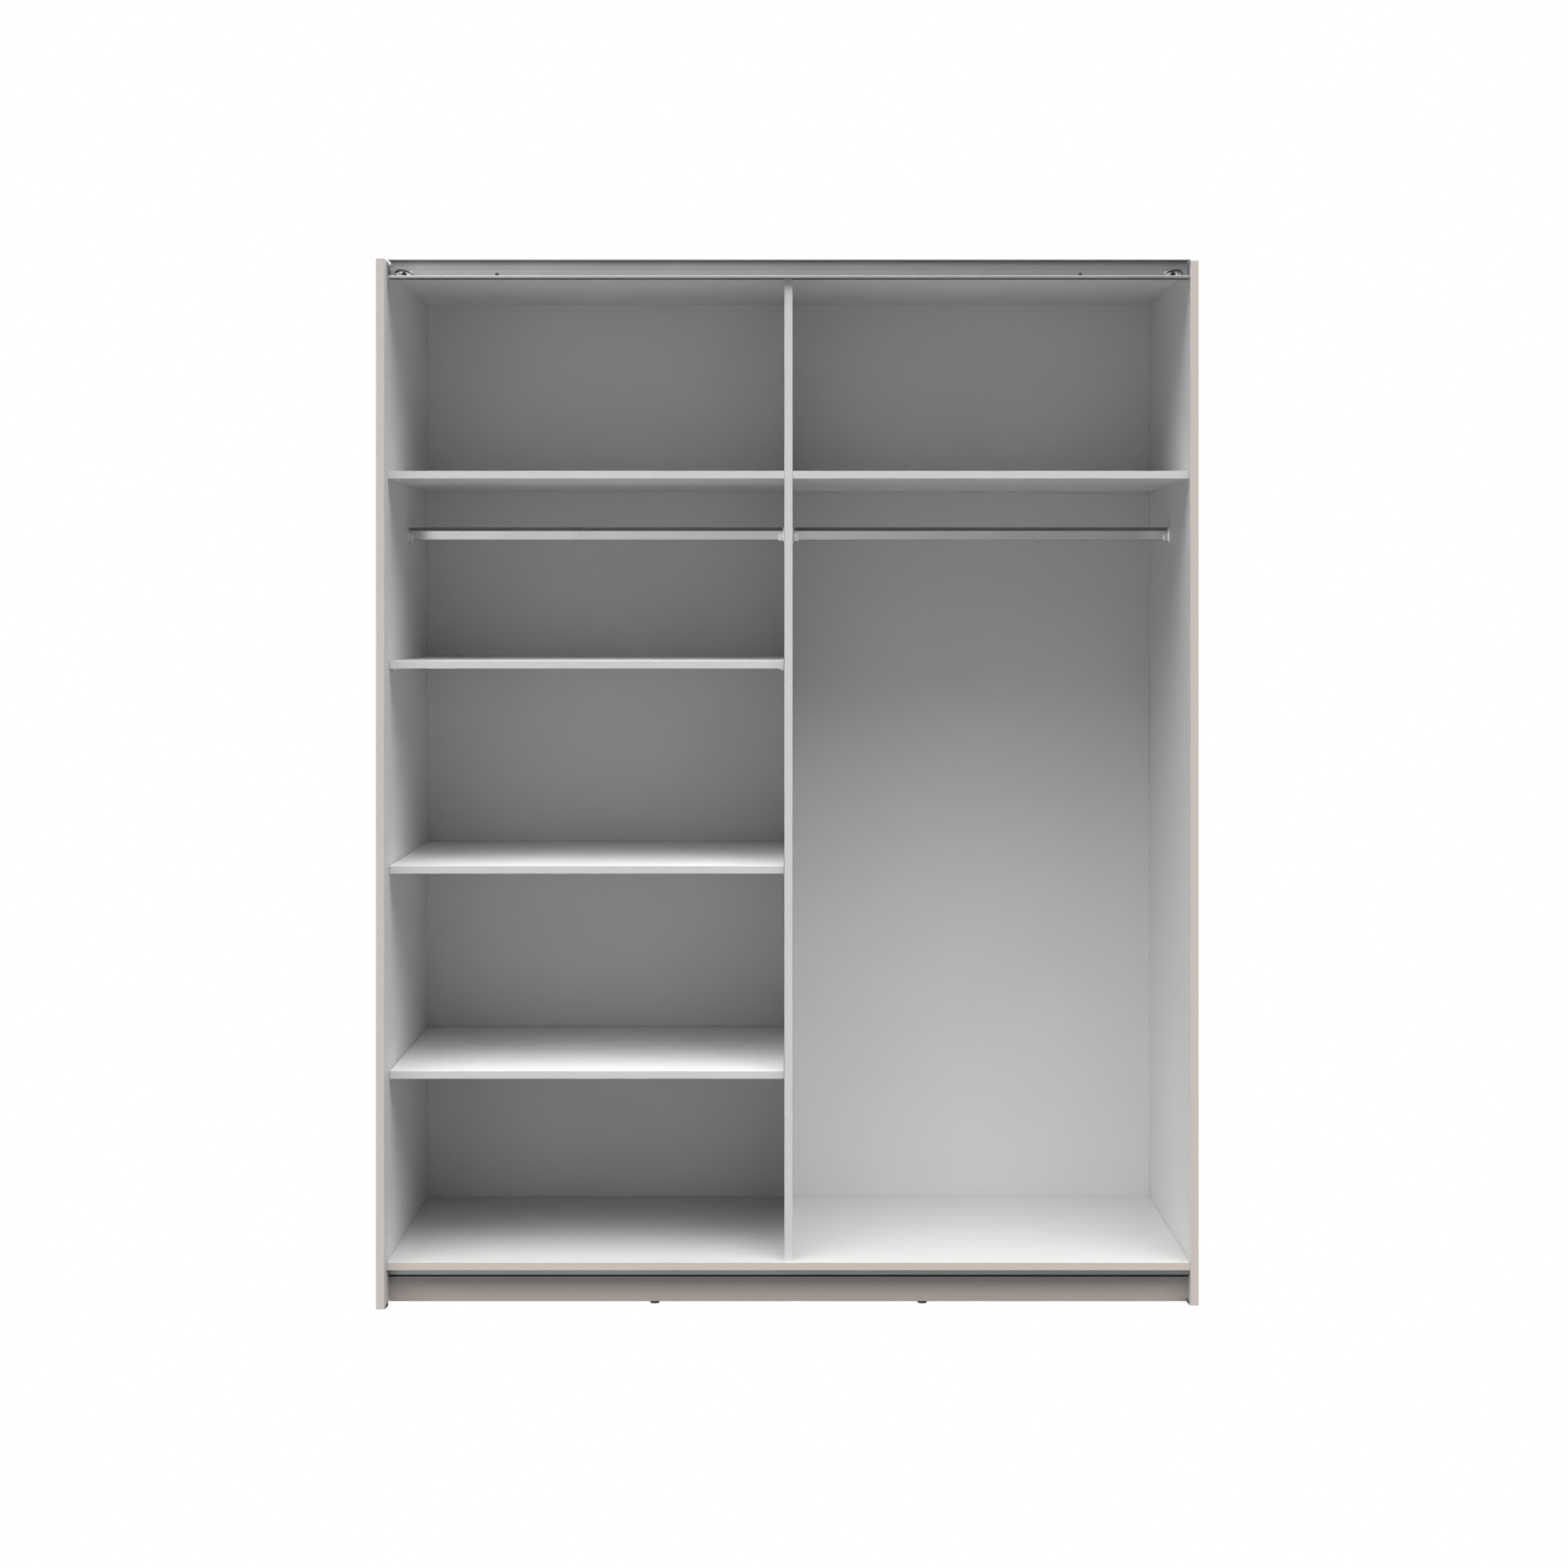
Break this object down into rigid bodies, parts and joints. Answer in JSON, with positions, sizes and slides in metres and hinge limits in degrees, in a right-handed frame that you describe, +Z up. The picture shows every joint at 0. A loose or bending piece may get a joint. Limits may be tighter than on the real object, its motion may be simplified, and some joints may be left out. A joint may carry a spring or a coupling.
{
  "type": "sliding door wardrobe carcass",
  "caption": "Tall two-bay wardrobe carcass for sliding doors, with top shelves, hanging rails and loose shelves, on a low plinth; the doors are not part of it.",
  "frame": {"origin": "on the floor, in the middle of the footprint", "axes": "+X to the right seen from the open front, +Y to the back, +Z up"},
  "size_m": [1.6, 0.6, 2.0465],
  "materials": {
    "cashmere_board": "matt melamine-faced chipboard, warm beige outside and on the edges, white inside",
    "white_board": "matt white melamine-faced chipboard with matching edge band",
    "back_board": "thin hardboard, lacquered white in front",
    "aluminium": "anodised extrusion with fine lengthwise lines",
    "zinc": "zinc plated, satin",
    "spring_steel": "blued spring steel",
    "rubber": "matt moulded rubber",
    "white_plastic": "white extruded or moulded plastic",
    "black_plastic": "black moulded plastic",
    "grey_plastic": "mid grey extruded plastic"
  },
  "bodies": {
    "carcass": {"back_joint_strip": "white_plastic", "back_panel_left": "back_board", "back_panel_right": "back_board", "bottom_guide": "aluminium", "bottom_panel": "cashmere_board", "catch_buffer_left": "rubber", "catch_buffer_right": "rubber", "catch_plate_left": "zinc", "catch_plate_right": "zinc", "catch_screw_left": "zinc", "catch_screw_right": "zinc", "divider_panel": "white_board", "glide_left_front": "black_plastic", "glide_left_rear": "black_plastic", "glide_right_front": "black_plastic", "glide_right_rear": "black_plastic", "hole_plug_left": "white_plastic", "hole_plug_right": "white_plastic", "plinth_front": "cashmere_board", "plinth_rear": "white_board", "rail_cup_left_end": "zinc", "rail_cup_left_start": "zinc", "rail_cup_right_end": "zinc", "rail_cup_right_start": "zinc", "side_panel_left": "cashmere_board", "side_panel_right": "cashmere_board", "support_lower_front_inner": "zinc", "support_lower_front_outer": "zinc", "support_lower_rear_inner": "zinc", "support_lower_rear_outer": "zinc", "support_middle_front_inner": "zinc", "support_middle_front_outer": "zinc", "support_middle_rear_inner": "zinc", "support_middle_rear_outer": "zinc", "support_upper_front_inner": "zinc", "support_upper_front_outer": "zinc", "support_upper_rear_inner": "zinc", "support_upper_rear_outer": "zinc", "top_panel": "white_board", "top_shelf_left": "white_board", "top_shelf_right": "white_board", "top_track": "aluminium", "track_batten": "white_board", "track_screw_left": "zinc", "track_screw_right": "zinc"},
    "shelf_lower_board": {"shelf_lower": "white_board"},
    "shelf_middle_board": {"shelf_middle": "white_board"},
    "shelf_upper_board": {"shelf_upper": "white_board"},
    "rail_left": {"hanging_rail_left": "aluminium", "rail_strip_left": "grey_plastic"},
    "rail_right": {"hanging_rail_right": "aluminium", "rail_strip_right": "grey_plastic"},
    "leaf_left": {"catch_spring_left": "spring_steel"},
    "leaf_right": {"catch_spring_right": "spring_steel"},
    "levelling_foot_left": {"foot_left": "black_plastic"},
    "levelling_foot_right": {"foot_right": "black_plastic"}
  },
  "joints": [
    {"name": "shelf_lower_pull", "type": "slide", "parent": "carcass", "child": "shelf_lower_board", "axis": [0, -1, 0], "range_m": [0, 0.2]},
    {"name": "shelf_middle_pull", "type": "slide", "parent": "carcass", "child": "shelf_middle_board", "axis": [0, -1, 0], "range_m": [0, 0.2]},
    {"name": "shelf_upper_pull", "type": "slide", "parent": "carcass", "child": "shelf_upper_board", "axis": [0, -1, 0], "range_m": [0, 0.2]},
    {"name": "rail_left_lift", "type": "slide", "parent": "carcass", "child": "rail_left", "axis": [0, 0, 1], "range_m": [0, 0.08]},
    {"name": "rail_right_lift", "type": "slide", "parent": "carcass", "child": "rail_right", "axis": [0, 0, 1], "range_m": [0, 0.08]},
    {"name": "catch_left_flex", "type": "hinge", "parent": "carcass", "child": "leaf_left", "pos_m": [-0.7697, -0.249, 2.0205], "axis": [0, 1, 0], "range_deg": [0, 5], "stiffness_Nm_per_rad": 1},
    {"name": "catch_right_flex", "type": "hinge", "parent": "carcass", "child": "leaf_right", "pos_m": [0.7697, -0.249, 2.0205], "axis": [0, -1, 0], "range_deg": [0, 5], "stiffness_Nm_per_rad": 1},
    {"name": "foot_left_level", "type": "slide", "parent": "carcass", "child": "levelling_foot_left", "axis": [0, 0, -1], "range_m": [0, 0.012]},
    {"name": "foot_right_level", "type": "slide", "parent": "carcass", "child": "levelling_foot_right", "axis": [0, 0, -1], "range_m": [0, 0.012]}
  ]
}
